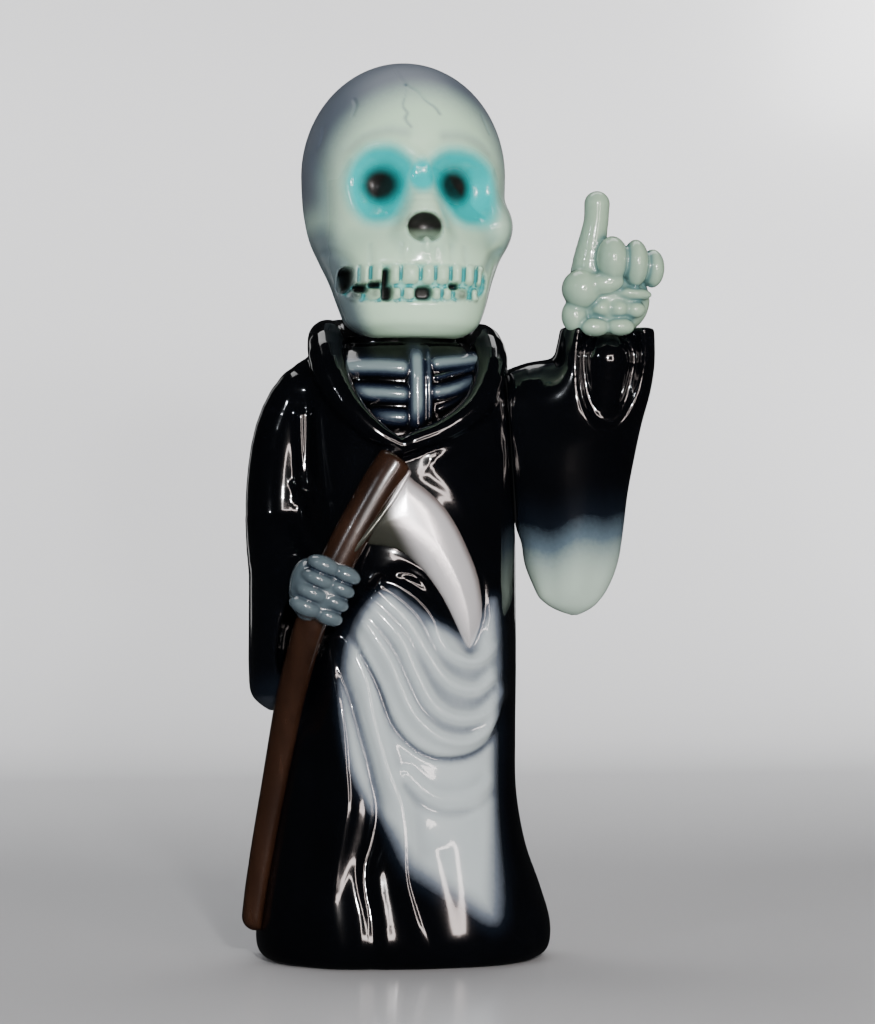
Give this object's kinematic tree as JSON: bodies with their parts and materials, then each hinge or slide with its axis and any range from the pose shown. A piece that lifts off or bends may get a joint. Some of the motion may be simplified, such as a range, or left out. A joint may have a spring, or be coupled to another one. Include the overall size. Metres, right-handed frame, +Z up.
{
  "type": "grim reaper figurine",
  "caption": "Glossy moulded grim reaper figurine: skull head, hooded black robe, scythe held against the front, raised left arm with a pointing forefinger.",
  "frame": {"origin": "middle of the flat underside, straight under the neck", "axes": "+Z up to the crown of the skull; the face and the front of the robe look along -Y; +X is the figure's own left, the side of the raised arm"},
  "size_m": [0.1115, 0.0691, 0.24],
  "materials": {
    "black_gloss": "airbrushed paint under a wet-looking gloss lacquer",
    "bone_gloss": "pale green-white moulded plastic, airbrushed, under a gloss lacquer"
  },
  "bodies": {
    "root": {"robe_body": "black_gloss", "skull_head": "bone_gloss", "raised_arm": "black_gloss"}
  },
  "joints": []
}
